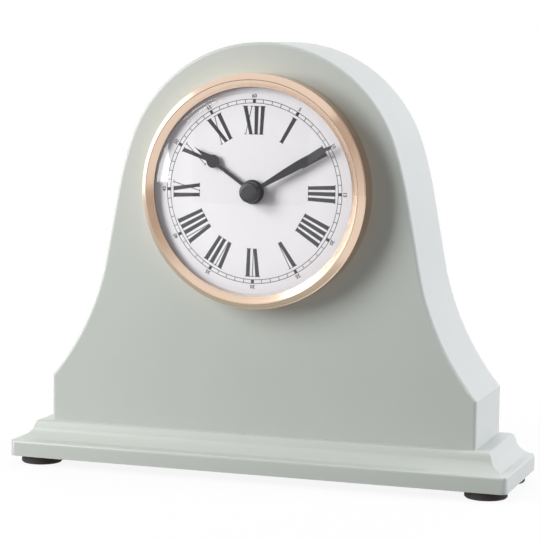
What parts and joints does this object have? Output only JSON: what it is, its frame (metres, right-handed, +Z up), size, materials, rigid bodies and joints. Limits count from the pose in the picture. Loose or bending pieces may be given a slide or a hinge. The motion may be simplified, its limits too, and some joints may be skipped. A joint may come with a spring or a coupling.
{
  "type": "table clock",
  "caption": "Arched mantel clock on a moulded plinth with small round feet, a gold bezel with domed lens, a Roman dial, spade hands and a battery quartz movement.",
  "frame": {"origin": "middle of the clock's outer box at the level of the feet's undersides", "axes": "+Z up, the dial faces -Y, +X to the right as the dial is read"},
  "size_m": [0.198, 0.0552, 0.1654],
  "materials": {
    "sage_paint": "satin sprayed paint on board",
    "foot_rubber": "matt",
    "screw_steel": "zinc plated",
    "bezel_gold": "satin pale rose gold",
    "lens_glass": "clear polished",
    "gasket": "matt",
    "dial_paint": "matt white with printed numerals",
    "cup_steel": "pressed",
    "spring_steel": "tempered",
    "movement_plastic": "fine texture",
    "washer_rubber": "matt",
    "brass": "polished",
    "plate_plastic": "natural",
    "board_resin": "phenolic board",
    "chip_resin": "cast resin",
    "coil_copper": "enamelled wire",
    "core_iron": "soft iron",
    "battery_jacket": "plain printed jacket",
    "contact_nickel": "nickel plated",
    "gear_plastic": "acetal",
    "magnet": "sintered",
    "hand_black": "satin black",
    "knob_plastic": "knurled"
  },
  "bodies": {
    "case": {"case_body": "sage_paint", "back_panel": "sage_paint", "plinth": "sage_paint", "back_panel_screws": "screw_steel", "plinth_screws": "screw_steel", "foot_screws": "screw_steel", "clip_screws": "screw_steel", "foot_front_left": "foot_rubber", "foot_front_right": "foot_rubber", "foot_rear_left": "foot_rubber", "foot_rear_right": "foot_rubber", "bezel": "bezel_gold", "lens": "lens_glass", "lens_gasket": "gasket", "dial": "dial_paint", "dial_cup": "cup_steel", "clip_top": "spring_steel", "clip_lower_right": "spring_steel", "clip_lower_left": "spring_steel", "movement_front_shell": "movement_plastic", "movement_rear_cover": "movement_plastic", "rubber_washer": "washer_rubber", "brass_washer": "brass", "hex_nut": "brass", "train_plate": "plate_plastic", "circuit_board": "board_resin", "timer_chip": "chip_resin", "quartz_crystal": "contact_nickel", "coil_bobbin": "plate_plastic", "coil_winding": "coil_copper", "coil_core": "core_iron", "stator": "core_iron", "battery": "battery_jacket", "contact_positive": "contact_nickel", "contact_negative": "contact_nickel"},
    "minute_group": {"minute_arbor": "brass", "minute_hand": "hand_black", "minute_collet": "brass", "hand_cap": "hand_black"},
    "hour_group": {"hour_wheel": "gear_plastic", "hour_hand": "hand_black", "hour_collet": "brass"},
    "motion_group": {"motion_wheel": "gear_plastic"},
    "setting_group": {"setting_stem": "gear_plastic", "setting_knob": "knob_plastic"},
    "rotor_group": {"rotor_pinion": "gear_plastic", "rotor_magnet": "magnet"},
    "intermediate_group": {"intermediate_wheel": "gear_plastic"},
    "seconds_group": {"seconds_wheel": "gear_plastic"},
    "third_group": {"third_wheel": "gear_plastic"},
    "centre_group": {"centre_wheel": "gear_plastic", "friction_spring": "spring_steel"}
  },
  "joints": [
    {"name": "minute_spin", "type": "hinge", "parent": "case", "child": "minute_group", "pos_m": [0, 0, 0.1099], "axis": [0, 1, 0], "continuous": true},
    {"name": "hour_spin", "type": "hinge", "parent": "case", "child": "hour_group", "pos_m": [0, 0, 0.1099], "axis": [0, 1, 0], "continuous": true},
    {"name": "motion_spin", "type": "hinge", "parent": "case", "child": "motion_group", "pos_m": [0.00831, 0, 0.1147], "axis": [0, 1, 0], "continuous": true},
    {"name": "setting_spin", "type": "hinge", "parent": "case", "child": "setting_group", "pos_m": [0.0108, 0, 0.12397], "axis": [0, 1, 0], "continuous": true},
    {"name": "rotor_spin", "type": "hinge", "parent": "case", "child": "rotor_group", "pos_m": [0.00003, 0, 0.12388], "axis": [0, 1, 0], "continuous": true},
    {"name": "intermediate_spin", "type": "hinge", "parent": "case", "child": "intermediate_group", "pos_m": [0.00125, 0, 0.11699], "axis": [0, 1, 0], "continuous": true},
    {"name": "seconds_spin", "type": "hinge", "parent": "case", "child": "seconds_group", "pos_m": [0, 0, 0.1099], "axis": [0, 1, 0], "continuous": true},
    {"name": "third_spin", "type": "hinge", "parent": "case", "child": "third_group", "pos_m": [-0.00935, 0, 0.1153], "axis": [0, 1, 0], "continuous": true},
    {"name": "centre_spin", "type": "hinge", "parent": "case", "child": "centre_group", "pos_m": [0, 0, 0.1099], "axis": [0, 1, 0], "continuous": true}
  ],
  "couplings": [
    {"joint": "hour_spin", "follows": "minute_spin", "ratio": 0.083333},
    {"joint": "motion_spin", "follows": "minute_spin", "ratio": -0.33333},
    {"joint": "setting_spin", "follows": "minute_spin", "ratio": 1},
    {"joint": "intermediate_spin", "follows": "rotor_spin", "ratio": -0.16667},
    {"joint": "seconds_spin", "follows": "rotor_spin", "ratio": 0.033333},
    {"joint": "third_spin", "follows": "rotor_spin", "ratio": -0.0044444},
    {"joint": "centre_spin", "follows": "rotor_spin", "ratio": 0.00055556}
  ]
}
